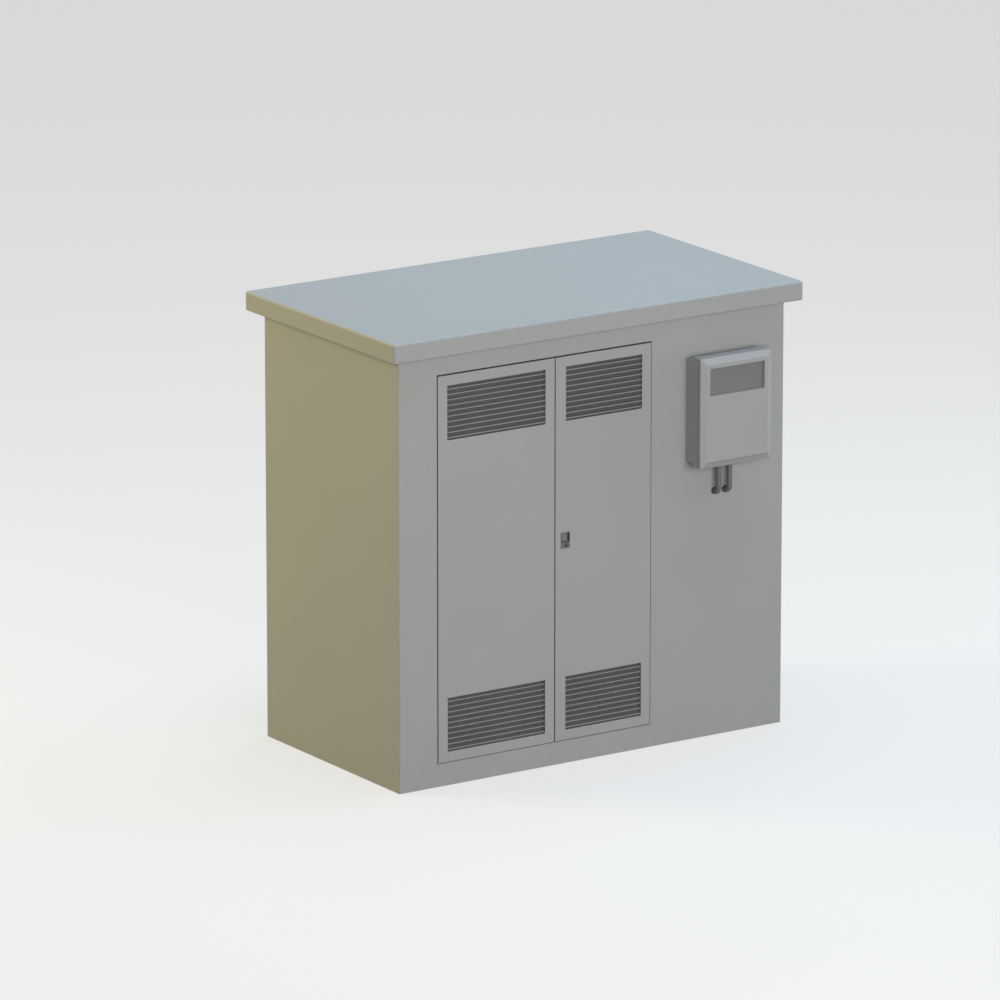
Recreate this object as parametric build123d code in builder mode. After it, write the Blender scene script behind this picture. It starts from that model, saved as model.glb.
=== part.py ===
from build123d import *
from math import acos, cos, pi, radians, sin, sqrt, tan
import os

# Outdoor electrical cabinet with two louvred doors, a flat overhanging roof and a meter box on its front.
# Millimetres. The origin is the middle of the base, on the ground. X runs along the front, the front
# faces -Y, and Z is up. A "depth" is counted back from the front wall's outer face.
os.makedirs("parts", exist_ok=True)

# Body and roof
body_width = 1500
body_depth = 800
eaves_height = 1436.4
wall_sheet = 2
wall_radius = 4
wall_return = 30
back_sill_height = 90
back_head_height = 32
roof_overhang = 45
fascia_height = 63.6
roof_sheet = 2.5
roof_corner_radius = 8
roof_edge_radius = 7
roof_fold_radius = 4.5
roof_wall_gap = 0.6
roof_stud_radius = 4
roof_stud_length = 18
roof_stud_reach = 600
roof_nut_flats = 13
roof_nut_height = 6.5

# Base
frame_height = 60
frame_web = 4
frame_flange = 60
anchor_hole_radius = 7
floor_sheet = 3
cable_slot_width = 600
cable_slot_depth = 160
cable_slot_y = 100
trim_wall = 3
trim_lip = 6

# Door opening and the two leaves
opening_from_side = 145
opening_bottom = 76
opening_from_eaves = 69.4
left_leaf_width = 449.5
right_leaf_width = 373.3
gap_left = 4
gap_right = 1.4
gap_top = 5
gap_bottom = 1.6
gap_meeting = 3
leaf_depth = 30
leaf_edge_radius = 1.5
leaf_return = 14.5
leaf_hinge_return = 27
jamb_sheet = 2
stop_depth = 35
seal_width = 10
seal_inset = 3
seal_hinge_inset = 15.5
moving_gap = 0.3
post_depth = 25

# Hinges
pin_radius = 3
pin_inset = 15
pin_depth = 5.5
pin_reach = 20
pin_foot_height = 6
pin_foot_width = 14
pin_foot_depth = 10
running_clearance = 0.05
hinge_block_width = 24
hinge_block_depth = 12

# Louvre grilles
grille_height = 180
grille_margin_side = 36
grille_margin_end = 34.4
grille_lock_margin = 40
slat_count = 10
slat_pitch = 17.8
slat_first = 7
slat_lip = 3.5
slat_sheet = 1.2
slat_recess = 2.5
slat_web = 9
slat_mat_gap = 0.5
grille_flange = 12
grille_sheet = 1.5
mat_thickness = 4

# Lock, rods and shoot bolts
lock_inset = 20.8
lock_width = 35
lock_bottom = 723.3
lock_height = 53.4
lock_proud = 1
lock_depth = 16
lock_corner_radius = 2
lock_flange = 6
lock_flange_sheet = 2
lock_fit = 0.2
pocket_wall = 1.5
pocket_height = 29.5
pocket_depth = 9
pocket_head = 2.7
handle_width = 19
handle_thickness = 2.2
handle_proud = 0.6
handle_axis_inset = 2.6
handle_knuckle_radius = 1.8
handle_pin_radius = 1
handle_end_gap = 0.5
handle_low_gap = 4
barrel_inset = 21.7
barrel_rise = 9.7
barrel_radius = 7
barrel_rim_radius = 8.5
barrel_rim_height = 0.8
barrel_rim_chamfer = 0.4
barrel_collar_radius = 9
barrel_collar_height = 1.7
barrel_shaft_radius = 4
keyway_width = 1.8
keyway_height = 8
keyway_depth = 5
gear_module = 1.25
pinion_teeth = 16
pressure_angle = 20
tooth_backlash = 0.3
rod_depth = 20.5
rod_thickness = 4
rod_width = 5.5
rod_rack_teeth = 8
rod_recess = 2.5
rod_arm_height = 10
rod_arm_drop = 23
rod_hole_gap = 0.8
guide_width = 14
guide_height = 12
guide_wall = 2.5
upper_guide_rises = (127, 377)
lower_guide_drops = (133, 403)
bolt_guides_from_end = (247, 332)
keeper_width = 24
keeper_sheet = 3
bolt_inset = 24.5
bolt_width = 6
bolt_length = 380
bolt_knob_radius = 5
bolt_knob_reach = 15
bolt_knob_inset = 20

# Meter box on the front wall
meter_from_side = 109
meter_from_eaves = 133.4
meter_box_width = 280
meter_box_height = 345.3
meter_base_reach = 43
meter_rim_reach = 66
meter_rim_lip = 11
meter_cover_gap = 4
meter_cover_side = 13
meter_cover_bevel = 13
meter_bevel_width = 20
meter_wall = 3
meter_cover_wall = 3.5
meter_corner_radius = 2
meter_lip_width = 10
meter_hinge_lip_width = 18
meter_lip_thickness = 3
meter_seal_width = 5
meter_seal_inset = 4
meter_seal_hinge_inset = 12
window_shift = -2.75
window_drop = 78.75
window_width = 215.5
window_height = 91.5
window_recess = 10
window_wall = 3
pane_lap = 5
pane_thickness = 3
groove_width = 2.5
groove_depth = 4
groove_wall = 2
meter_axis_inset = 7
meter_axis_depth = 8
meter_knuckle_radius = 3.5
meter_pin_radius = 2
meter_lug_height = 12
meter_lug_width = 6
meter_lug_from_end = 45
meter_knuckle_height = 8
meter_knuckle_gap = 0.5
meter_notch_margin = 1
meter_notch_depth = 12.5
meter_screw_inset_x = 30
meter_screw_inset_z = 40

# Conduits below the meter box
conduit_shift = -4
conduit_spacing = 42
conduit_radius = 9
conduit_wall = 1.5
conduit_reach = 27
conduit_drop = 115.7
conduit_bend = 18
conduit_inside = 12
conduit_top_lap = 10
fit_clearance = 0.05
gland_flats = 24
gland_height = 12
grommet_radius = 11
grommet_lip = 0.8
grommet_lip_thickness = 1.5

# Meter inside the box
meter_width = 170
meter_height = 232
meter_depth = 62
meter_rise = 95.3
meter_edge_radius = 6
display_width = 96
display_height = 38
display_recess = 2
terminal_cover_height = 58
terminal_cover_depth = 46

# Equipment inside the cabinet
plate_side_gap = 98
plate_height = 1120
plate_low_z = 215
plate_sheet = 3
plate_gap = 60
rail_height = 50
rail_reach = 25
rail_sheet = 2.5
rail_from_end = 45
plate_bolt_inset = 50
switch_x = -420
switch_z = 1060
switch_width = 150
switch_height = 190
switch_depth = 85
switch_step = 16
switch_terminal_radius = 9
switch_terminal_pitch = 45
knob_radius = 34
knob_height = 12
knob_gap = 0.5
knob_shaft_radius = 5
knob_shaft_length = 20
grip_length = 62
grip_width = 15
grip_height = 18
busbar_x = 150
busbar_length = 640
busbar_height = 30
busbar_thickness = 5
busbar_top_z = 1240
busbar_pitch = 55
support_width = 26
support_depth = 36
support_spread = 260
support_groove = 2
support_end = 15
din_z = 860
din_length = 520
din_x = -30
din_width = 35
din_height = 7.5
din_sheet = 1
din_crown = 27
breaker_xs = (-120, 60)
breaker_width = 54
breaker_height = 86
breaker_body_depth = 46
breaker_nose_height = 46
breaker_depth = 70
breaker_back = 3
breaker_clip_gap = 0.2
toggle_slot_width = 44
toggle_slot_height = 28
toggle_slot_depth = 20
toggle_barrel_radius = 6.5
toggle_axis_depth = 61
toggle_length = 21
toggle_thickness = 5
toggle_tilt = 35
toggle_stub_radius = 2
toggle_side_gap = 0.4
earth_x = 150
earth_z = 330
earth_length = 420
earth_height = 25
earth_thickness = 6
earth_hole_count = 12
earth_hole_pitch = 32
earth_hole_radius = 4.2
standoff_radius = 11
standoff_height = 32
standoff_spread = 190

# Places that follow from the sizes above
total_height = eaves_height + fascia_height
wall_top = total_height - roof_sheet
inner_width = body_width - 2 * wall_sheet
inner_depth = body_depth - 2 * wall_sheet
opening_left = -body_width / 2 + opening_from_side
meeting_x = opening_left + gap_left + left_leaf_width + gap_meeting / 2
opening_right = meeting_x + gap_meeting / 2 + right_leaf_width + gap_right
opening_top = eaves_height - opening_from_eaves
opening_width = opening_right - opening_left
opening_height = opening_top - opening_bottom
opening_x = (opening_left + opening_right) / 2
opening_z = (opening_bottom + opening_top) / 2
leaf_bottom = opening_bottom + gap_bottom
leaf_top = opening_top - gap_top
leaf_height = leaf_top - leaf_bottom
leaf_z = (leaf_top + leaf_bottom) / 2
left_leaf_edges = (opening_left + gap_left, meeting_x - gap_meeting / 2)
right_leaf_edges = (meeting_x + gap_meeting / 2, opening_right - gap_right)
left_pin_x = left_leaf_edges[0] + pin_inset
right_pin_x = right_leaf_edges[1] - pin_inset
bolt_x = left_leaf_edges[1] - bolt_inset
lock_left = right_leaf_edges[0] + lock_inset
barrel_x = lock_left + barrel_inset
barrel_z = lock_bottom + barrel_rise
pinion_radius = gear_module * pinion_teeth / 2
tooth_pitch = pi * gear_module
tooth_root = 1.25 * gear_module
upper_rod_x = barrel_x - pinion_radius - tooth_root - rod_width / 2
lower_rack_x = barrel_x + pinion_radius + tooth_root + rod_width / 2
meter_box_x = body_width / 2 - meter_from_side - meter_box_width / 2
rim_top = eaves_height - meter_from_eaves
box_top = rim_top - meter_rim_lip
box_bottom = box_top - meter_box_height
rim_bottom = box_bottom - meter_rim_lip
meter_box_z = (box_top + box_bottom) / 2
window_x = meter_box_x + window_shift
window_z = rim_top - window_drop
conduit_xs = [meter_box_x + conduit_shift + side * conduit_spacing / 2 for side in (-1, 1)]
conduit_z = box_bottom - conduit_drop
meter_low_z = box_bottom + meter_rise
plate_depth = body_depth - plate_gap - plate_sheet
plate_width = inner_width - 2 * plate_side_gap


def at(depth):
    """Y of a depth behind the front wall's outer face."""
    return depth - body_depth / 2


def behind(depth):
    """Plane parallel to the front wall, at a depth behind its outer face, looking out of the front."""
    return Plane.XZ.offset(body_depth / 2 - depth)


def slab(xs, depths, zs, mode=Mode.ADD):
    """Block between two X, two depths and two Z, put into the piece that is being made."""
    with Locations(((xs[0] + xs[1]) / 2, at((depths[0] + depths[1]) / 2), (zs[0] + zs[1]) / 2)):
        Box(abs(xs[1] - xs[0]), abs(depths[1] - depths[0]), abs(zs[1] - zs[0]), mode=mode)


def rod_along_y(places, radius, depths, mode=Mode.ADD):
    """Round bars or holes along Y between two depths, at (x, z) places."""
    with Locations(*[(x, at((depths[0] + depths[1]) / 2), z) for x, z in places]):
        Cylinder(radius, abs(depths[1] - depths[0]), rotation=(90, 0, 0), mode=mode)


def rod_along_z(places, radius, zs, mode=Mode.ADD):
    """Round bars or holes along Z between two heights, at (x, y) places."""
    with Locations(*[(x, y, (zs[0] + zs[1]) / 2) for x, y in places]):
        Cylinder(radius, abs(zs[1] - zs[0]), mode=mode)


def finish(name, piece):
    """Label a finished piece and write it to its own file."""
    piece.part.label = name
    export_step(piece.part, f"parts/{name}.step")


# Base frame: welded channel ring with anchor holes in its bottom flange
frame_width = inner_width
frame_depth = inner_depth
anchor_x = frame_width / 2 - frame_flange / 2
anchor_y = frame_depth / 2 - frame_flange / 2
anchor_places = [(x, y) for x in (-anchor_x, anchor_x) for y in (-anchor_y, anchor_y)]
with BuildPart() as base_frame:
    with BuildSketch():
        RectangleRounded(frame_width, frame_depth, wall_radius)
        Rectangle(frame_width - 2 * frame_flange, frame_depth - 2 * frame_flange, mode=Mode.SUBTRACT)
    extrude(amount=frame_height)
    with BuildSketch(Plane.XY.offset(frame_web)):
        Rectangle(frame_width - 2 * frame_web, frame_depth - 2 * frame_web)
    extrude(amount=frame_height - 2 * frame_web, mode=Mode.SUBTRACT)
    with BuildSketch():
        with Locations(*anchor_places):
            Circle(anchor_hole_radius)
    extrude(amount=frame_web, mode=Mode.SUBTRACT)
finish("base_frame", base_frame)

# Floor plate on the base frame, with the slot where cables come up from the ground
floor_top = frame_height + floor_sheet
with BuildPart() as floor_plate:
    with BuildSketch(Plane.XY.offset(frame_height)):
        RectangleRounded(inner_width, inner_depth, wall_radius)
        with Locations((0, cable_slot_y)):
            Rectangle(cable_slot_width, cable_slot_depth, mode=Mode.SUBTRACT)
    extrude(amount=floor_sheet)
finish("floor_plate", floor_plate)

# Rubber edge trim round the cable slot, gripping the plate from above and below
with BuildPart() as cable_slot_trim:
    with BuildSketch(Plane.XY.offset(frame_height - trim_wall)):
        with Locations((0, cable_slot_y)):
            Rectangle(cable_slot_width + 2 * trim_lip, cable_slot_depth + 2 * trim_lip)
            Rectangle(
                cable_slot_width - 2 * trim_wall, cable_slot_depth - 2 * trim_wall, mode=Mode.SUBTRACT
            )
    extrude(amount=floor_sheet + 2 * trim_wall)
    with BuildSketch(Plane.XY.offset(frame_height)):
        with Locations((0, cable_slot_y)):
            Rectangle(cable_slot_width + 4 * trim_lip, cable_slot_depth + 4 * trim_lip)
            Rectangle(cable_slot_width, cable_slot_depth, mode=Mode.SUBTRACT)
    extrude(amount=floor_sheet, mode=Mode.SUBTRACT)
finish("cable_slot_trim", cable_slot_trim)

# Body shell: one folded sheet round the front and sides, returned at the back and at the top
back_opening_z = (back_sill_height + wall_top - back_head_height) / 2
back_opening_height = wall_top - back_head_height - back_sill_height
back_screw_x = body_width / 2 - wall_return / 2
back_screw_rows = (back_sill_height / 2 + frame_height / 2, wall_top - back_head_height / 2)
back_screw_step = back_opening_height / 4
back_screw_zs = [back_sill_height + back_screw_step * i for i in (1, 2, 3)]
back_screws = [(side * back_screw_x, z) for side in (-1, 1) for z in back_screw_zs]
back_screws += [(side * body_width / 4, z) for side in (-1, 1) for z in back_screw_rows]
stud_y = body_depth / 2 - wall_return / 2
stud_x = body_width / 2 - wall_return / 2
roof_studs = [(x, y) for x in (-roof_stud_reach, 0, roof_stud_reach) for y in (-stud_y, stud_y)]
roof_studs += [(-stud_x, 0), (stud_x, 0)]
meter_screws = [
    (meter_box_x + i * (meter_box_width / 2 - meter_screw_inset_x),
     meter_box_z + k * (meter_box_height / 2 - meter_screw_inset_z))
    for i in (-1, 1) for k in (-1, 1)
]
screw_radius = 3
screw_head_radius = 6
screw_head_height = 3.5
screw_hole_radius = screw_radius + fit_clearance
with BuildPart() as body_shell:
    with BuildSketch():
        RectangleRounded(body_width, body_depth, wall_radius)
        RectangleRounded(inner_width, inner_depth, wall_radius - wall_sheet, mode=Mode.SUBTRACT)
    extrude(amount=wall_top)
    with BuildSketch(Plane.XY.offset(wall_top - wall_sheet)):
        RectangleRounded(body_width, body_depth, wall_radius)
        Rectangle(body_width - 2 * wall_return, body_depth - 2 * wall_return, mode=Mode.SUBTRACT)
    extrude(amount=wall_sheet)
    with BuildSketch(behind(0)):
        with Locations((opening_x, opening_z)):
            Rectangle(opening_width, opening_height)
    extrude(amount=-wall_sheet, mode=Mode.SUBTRACT)
    with BuildSketch(behind(body_depth)):
        with Locations((0, back_opening_z)):
            Rectangle(body_width - 2 * wall_return, back_opening_height)
    extrude(amount=wall_sheet, mode=Mode.SUBTRACT)
    rod_along_y(back_screws, screw_hole_radius, (body_depth - wall_sheet, body_depth), Mode.SUBTRACT)
    rod_along_y(meter_screws, screw_hole_radius, (0, wall_sheet), Mode.SUBTRACT)
    rod_along_y([(x, conduit_z) for x in conduit_xs], grommet_radius, (0, wall_sheet), Mode.SUBTRACT)
    stud_hole = roof_stud_radius + fit_clearance
    rod_along_z(roof_studs, stud_hole, (wall_top - wall_sheet, wall_top), Mode.SUBTRACT)
finish("body_shell", body_shell)

# Rear panel behind the shell's returns, and its screws, put in from outside
panel_bottom = floor_top
with BuildPart() as rear_panel:
    with BuildSketch(behind(body_depth - wall_sheet)):
        with Locations((0, (panel_bottom + wall_top - wall_sheet) / 2)):
            Rectangle(inner_width - 2 * wall_radius, wall_top - wall_sheet - panel_bottom)
    extrude(amount=wall_sheet)
    panel_depths = (body_depth - 2 * wall_sheet, body_depth - wall_sheet)
    rod_along_y(back_screws, screw_hole_radius, panel_depths, Mode.SUBTRACT)
finish("rear_panel", rear_panel)

with BuildPart() as rear_panel_screws:
    rod_along_y(back_screws, screw_radius, (body_depth - 4 * wall_sheet, body_depth))
    rod_along_y(back_screws, screw_head_radius, (body_depth, body_depth + screw_head_height))
    chamfer(rear_panel_screws.faces().group_by(Axis.Y)[-1].edges(), 1.5)
finish("rear_panel_screws", rear_panel_screws)

# Roof cap: folded tray with a deep fascia, turned in below, and weld studs under its deck
with BuildPart() as roof_cap:
    with BuildSketch(Plane.XY.offset(eaves_height)):
        RectangleRounded(body_width + 2 * roof_overhang, body_depth + 2 * roof_overhang, roof_corner_radius)
    extrude(amount=fascia_height)
    fillet(roof_cap.faces().sort_by(Axis.Z)[-1].edges(), roof_edge_radius)
    offset(amount=-roof_sheet, openings=roof_cap.faces().sort_by(Axis.Z)[0])
    with BuildSketch(Plane.XY.offset(eaves_height)):
        RectangleRounded(body_width + 2 * roof_overhang, body_depth + 2 * roof_overhang, roof_corner_radius)
        RectangleRounded(
            body_width + 2 * roof_wall_gap, body_depth + 2 * roof_wall_gap, wall_radius, mode=Mode.SUBTRACT
        )
    extrude(amount=roof_sheet)
    fillet(roof_cap.faces().sort_by(Axis.Z)[0].outer_wire().edges(), roof_fold_radius)
    rod_along_z(roof_studs, roof_stud_radius, (wall_top - roof_stud_length, wall_top))
finish("roof_cap", roof_cap)

# Nuts that pull the roof down on the shell's top return
with BuildPart() as roof_nuts:
    with BuildSketch(Plane.XY.offset(wall_top - wall_sheet - roof_nut_height)):
        with Locations(*roof_studs):
            RegularPolygon(roof_nut_flats / 2, 6, major_radius=False)
            Circle(roof_stud_radius + fit_clearance, mode=Mode.SUBTRACT)
    extrude(amount=roof_nut_height)
finish("roof_nuts", roof_nuts)

# Door frame: jambs behind the front sheet's edge and a stop all round for the leaves' seals
stop_left = left_leaf_edges[0] + leaf_hinge_return
stop_right = right_leaf_edges[1] - leaf_hinge_return
stop_bottom = leaf_bottom + leaf_return
stop_top = leaf_top - leaf_return
pin_y = at(pin_depth)
hinge_places = [(left_pin_x, pin_y), (right_pin_x, pin_y)]
rod_middle = rod_depth + rod_thickness / 2
rod_tips = [(upper_rod_x, rod_width), (bolt_x, bolt_width)]
with BuildPart() as door_frame:
    with BuildSketch(behind(wall_sheet)):
        with Locations((opening_x, opening_z)):
            Rectangle(opening_width + 2 * jamb_sheet, opening_height + 2 * jamb_sheet)
            Rectangle(opening_width, opening_height, mode=Mode.SUBTRACT)
    extrude(amount=-(stop_depth - wall_sheet))
    with BuildSketch(behind(stop_depth)):
        with Locations((opening_x, opening_z)):
            Rectangle(opening_width + 2 * jamb_sheet, opening_height + 2 * jamb_sheet)
        with Locations(((stop_left + stop_right) / 2, (stop_bottom + stop_top) / 2)):
            Rectangle(stop_right - stop_left, stop_top - stop_bottom, mode=Mode.SUBTRACT)
    extrude(amount=-jamb_sheet)
    rod_along_z(
        hinge_places, pin_radius + fit_clearance, (opening_bottom - jamb_sheet, opening_top + jamb_sheet),
        Mode.SUBTRACT
    )
    for x, width in rod_tips:
        half = width / 2 + rod_hole_gap
        slab(
            (x - half, x + half),
            (rod_depth - rod_hole_gap, rod_depth + rod_thickness + rod_hole_gap),
            (opening_bottom - jamb_sheet, opening_top + jamb_sheet),
            Mode.SUBTRACT,
        )
finish("door_frame", door_frame)

# Centre post behind the meeting line, a square tube that both leaves close on
post_left = left_leaf_edges[1] - leaf_return
post_right = right_leaf_edges[0] + leaf_return
with BuildPart() as centre_post:
    with BuildSketch(Plane.XY.offset(stop_bottom)):
        with Locations(((post_left + post_right) / 2, at(stop_depth + post_depth / 2))):
            RectangleRounded(post_right - post_left, post_depth, 3)
            RectangleRounded(post_right - post_left - 4, post_depth - 4, 1, mode=Mode.SUBTRACT)
    extrude(amount=stop_top - stop_bottom)
finish("centre_post", centre_post)

# Hinge pins, each with a square foot welded to the jamb. The lower ones have a collar under the leaf.
foot_depths = (wall_sheet + fit_clearance, wall_sheet + fit_clearance + pin_foot_depth)
with BuildPart() as upper_hinge_pins:
    rod_along_z(hinge_places, pin_radius, (leaf_top - pin_reach, opening_top + jamb_sheet))
    for x in (left_pin_x, right_pin_x):
        foot = (opening_top + jamb_sheet, opening_top + jamb_sheet + pin_foot_height)
        slab((x - pin_foot_width / 2, x + pin_foot_width / 2), foot_depths, foot)
finish("upper_hinge_pins", upper_hinge_pins)

with BuildPart() as lower_hinge_pins:
    rod_along_z(hinge_places, pin_radius, (opening_bottom - jamb_sheet, leaf_bottom + pin_reach))
    rod_along_z(hinge_places, pin_depth - fit_clearance, (opening_bottom, leaf_bottom - moving_gap))
    for x in (left_pin_x, right_pin_x):
        foot = (opening_bottom - jamb_sheet - pin_foot_height, opening_bottom - jamb_sheet)
        slab((x - pin_foot_width / 2, x + pin_foot_width / 2), foot_depths, foot)
finish("lower_hinge_pins", lower_hinge_pins)

# Keepers: plates on the jambs that take the ends of the rods and shoot bolts
with BuildPart() as rod_keepers:
    for x, width in rod_tips:
        for low in (opening_top + jamb_sheet, opening_bottom - jamb_sheet - keeper_sheet):
            zs = (low, low + keeper_sheet)
            slab((x - keeper_width / 2, x + keeper_width / 2), (rod_middle - 10, rod_middle + 10), zs)
            half = width / 2 + rod_hole_gap
            inside = (rod_depth - rod_hole_gap, rod_depth + rod_thickness + rod_hole_gap)
            slab((x - half, x + half), inside, zs, Mode.SUBTRACT)
finish("rod_keepers", rod_keepers)


# Door leaves: folded pans with grille windows, hinge blocks in two corners and slots for the rods
def grille_windows(edges, lock_side_margin):
    """The two grille openings of a leaf, as centre x, centre z and width."""
    x_low = edges[0] + lock_side_margin
    x_high = edges[1] - grille_margin_side
    lower = leaf_bottom + grille_margin_end + grille_height / 2
    upper = leaf_top - grille_margin_end - grille_height / 2
    return [((x_low + x_high) / 2, z, x_high - x_low) for z in (upper, lower)]


left_windows = grille_windows(left_leaf_edges, grille_margin_side)
right_windows = grille_windows(right_leaf_edges, grille_lock_margin)


def leaf_pan(edges, hinge_on_right, windows, rod):
    """Pan of one leaf between its two side edges, with its hinge blocks and rod slots."""
    middle = (edges[0] + edges[1]) / 2
    width = edges[1] - edges[0]
    rear_left = edges[0] + (leaf_return if hinge_on_right else leaf_hinge_return)
    rear_right = edges[1] - (leaf_hinge_return if hinge_on_right else leaf_return)
    pin_x = edges[1] - pin_inset if hinge_on_right else edges[0] + pin_inset
    outer = edges[1] if hinge_on_right else edges[0]
    inward = -1 if hinge_on_right else 1
    block_xs = (outer + inward * wall_sheet, outer + inward * (wall_sheet + hinge_block_width))
    block_depths = (wall_sheet, wall_sheet + hinge_block_depth)
    with BuildPart() as pan:
        with BuildSketch(behind(0)):
            with Locations((middle, leaf_z)):
                Rectangle(width, leaf_height)
        extrude(amount=-leaf_depth)
        fillet(pan.faces().sort_by(Axis.Y)[0].edges(), leaf_edge_radius)
        with BuildSketch(behind(wall_sheet)):
            with Locations((middle, leaf_z)):
                Rectangle(width - 2 * wall_sheet, leaf_height - 2 * wall_sheet)
        extrude(amount=-(leaf_depth - 2 * wall_sheet), mode=Mode.SUBTRACT)
        with BuildSketch(behind(leaf_depth - wall_sheet)):
            with Locations(((rear_left + rear_right) / 2, leaf_z)):
                Rectangle(rear_right - rear_left, leaf_height - 2 * leaf_return)
        extrude(amount=-wall_sheet, mode=Mode.SUBTRACT)
        for x, z, window_w in windows:
            slab(
                (x - window_w / 2, x + window_w / 2), (0, wall_sheet),
                (z - grille_height / 2, z + grille_height / 2), Mode.SUBTRACT
            )
        slab(block_xs, block_depths, (leaf_top - wall_sheet - pin_reach, leaf_top - wall_sheet))
        slab(block_xs, block_depths, (leaf_bottom + wall_sheet, leaf_bottom + wall_sheet + pin_reach))
        bore = pin_radius + running_clearance
        rod_along_z([(pin_x, pin_y)], bore, (leaf_top - wall_sheet - pin_reach, leaf_top), Mode.SUBTRACT)
        foot_end = leaf_bottom + wall_sheet + pin_reach
        rod_along_z([(pin_x, pin_y)], bore, (leaf_bottom, foot_end), Mode.SUBTRACT)
        half = rod[1] / 2 + rod_hole_gap
        inside = (rod_depth - rod_hole_gap, rod_depth + rod_thickness + rod_hole_gap)
        slab((rod[0] - half, rod[0] + half), inside, (leaf_bottom, leaf_bottom + wall_sheet), Mode.SUBTRACT)
        slab((rod[0] - half, rod[0] + half), inside, (leaf_top - wall_sheet, leaf_top), Mode.SUBTRACT)
    return pan


left_leaf = leaf_pan(left_leaf_edges, False, left_windows, rod_tips[1])
finish("left_leaf", left_leaf)

lock_right = lock_left + lock_width
lock_top = lock_bottom + lock_height
right_pan = leaf_pan(right_leaf_edges, True, right_windows, rod_tips[0])
with BuildPart() as right_leaf:
    add(right_pan.part)
    slab(
        (lock_left - lock_fit, lock_right + lock_fit), (0, wall_sheet),
        (lock_bottom - lock_fit, lock_top + lock_fit), Mode.SUBTRACT
    )
finish("right_leaf", right_leaf)


# Seals on the backs of the leaves, kept inside the hinge line so that they clear the stop when it opens
def leaf_seal(edges, hinge_on_right):
    """Foam seal ring on one leaf's rear return."""
    low = edges[0] + (seal_inset if hinge_on_right else seal_hinge_inset)
    high = edges[1] - (seal_hinge_inset if hinge_on_right else seal_inset)
    with BuildPart() as seal:
        with BuildSketch(behind(leaf_depth)):
            with Locations(((low + high) / 2, leaf_z)):
                Rectangle(high - low, leaf_height - 2 * seal_inset)
                Rectangle(
                    high - low - 2 * seal_width, leaf_height - 2 * seal_inset - 2 * seal_width,
                    mode=Mode.SUBTRACT
                )
        extrude(amount=-(stop_depth - leaf_depth - moving_gap))
    return seal


finish("left_leaf_seal", leaf_seal(left_leaf_edges, False))
finish("right_leaf_seal", leaf_seal(right_leaf_edges, True))


# Louvre grilles: a tray behind each window with ten slats across it, each folded into a channel
def slat_outline(z):
    """Section of one slat at the height of its front lip's middle: front lip, web and rear lip."""
    front = slat_recess
    back = front + slat_web
    top = z + slat_lip / 2
    low = z - slat_lip / 2
    points = [
        (front, low), (front, top), (back, top), (back, low),
        (back - slat_sheet, low), (back - slat_sheet, top - slat_sheet),
        (front + slat_sheet, top - slat_sheet), (front + slat_sheet, low),
    ]
    return [(at(depth), height) for depth, height in points]


mat_depth = slat_recess + slat_web + slat_mat_gap
tray_depth = mat_depth + mat_thickness


def louvre_grille(window):
    """Grille for one window of a leaf."""
    x, z, width = window
    with BuildPart() as grille:
        with BuildSketch(behind(wall_sheet)):
            with Locations((x, z)):
                Rectangle(width + 2 * grille_flange, grille_height + 2 * grille_flange)
                Rectangle(width, grille_height, mode=Mode.SUBTRACT)
        extrude(amount=-grille_sheet)
        with BuildSketch(behind(wall_sheet)):
            with Locations((x, z)):
                Rectangle(width + 2 * grille_sheet, grille_height + 2 * grille_sheet)
                Rectangle(width, grille_height, mode=Mode.SUBTRACT)
        extrude(amount=-(tray_depth - wall_sheet))
        for i in range(slat_count):
            with BuildSketch(Plane.YZ.offset(x - width / 2)):
                with BuildLine():
                    Polyline(*slat_outline(z - grille_height / 2 + slat_first + i * slat_pitch), close=True)
                make_face()
            extrude(amount=width)
    return grille


finish("left_upper_grille", louvre_grille(left_windows[0]))
finish("left_lower_grille", louvre_grille(left_windows[1]))
finish("right_upper_grille", louvre_grille(right_windows[0]))
finish("right_lower_grille", louvre_grille(right_windows[1]))


def filter_mats(windows):
    """Fibre mats held in the trays behind the slats of one leaf."""
    with BuildPart() as mats:
        for x, z, width in windows:
            slab(
                (x - width / 2 + lock_fit, x + width / 2 - lock_fit),
                (mat_depth, mat_depth + mat_thickness),
                (z - grille_height / 2 + lock_fit, z + grille_height / 2 - lock_fit)
            )
    return mats


finish("left_filter_mats", filter_mats(left_windows))
finish("right_filter_mats", filter_mats(right_windows))


# Guides for rods and shoot bolts: staples on the inside of the leaf
def rod_guides(x, width, heights):
    """Staples round a flat rod at several heights."""
    half = width / 2 + rod_hole_gap
    with BuildPart() as guides:
        for z in heights:
            zs = (z - guide_height / 2, z + guide_height / 2)
            inside = (rod_depth - rod_hole_gap, rod_depth + rod_thickness + rod_hole_gap)
            outside = (wall_sheet, rod_depth + rod_thickness + guide_wall)
            slab((x - guide_width / 2, x + guide_width / 2), outside, zs)
            slab((x - half, x + half), inside, zs, Mode.SUBTRACT)
            slab((x - half, x + half), (wall_sheet + guide_wall, rod_depth - guide_wall), zs, Mode.SUBTRACT)
    return guides


bolt_guide_zs = [leaf_top - d for d in bolt_guides_from_end]
bolt_guide_zs += [leaf_bottom + d for d in bolt_guides_from_end]
rod_guide_zs = [barrel_z + d for d in upper_guide_rises]
rod_guide_zs += [barrel_z - d for d in lower_guide_drops]
finish("left_bolt_guides", rod_guides(bolt_x, bolt_width, bolt_guide_zs))
finish("right_rod_guides", rod_guides(upper_rod_x, rod_width, rod_guide_zs))


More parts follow.
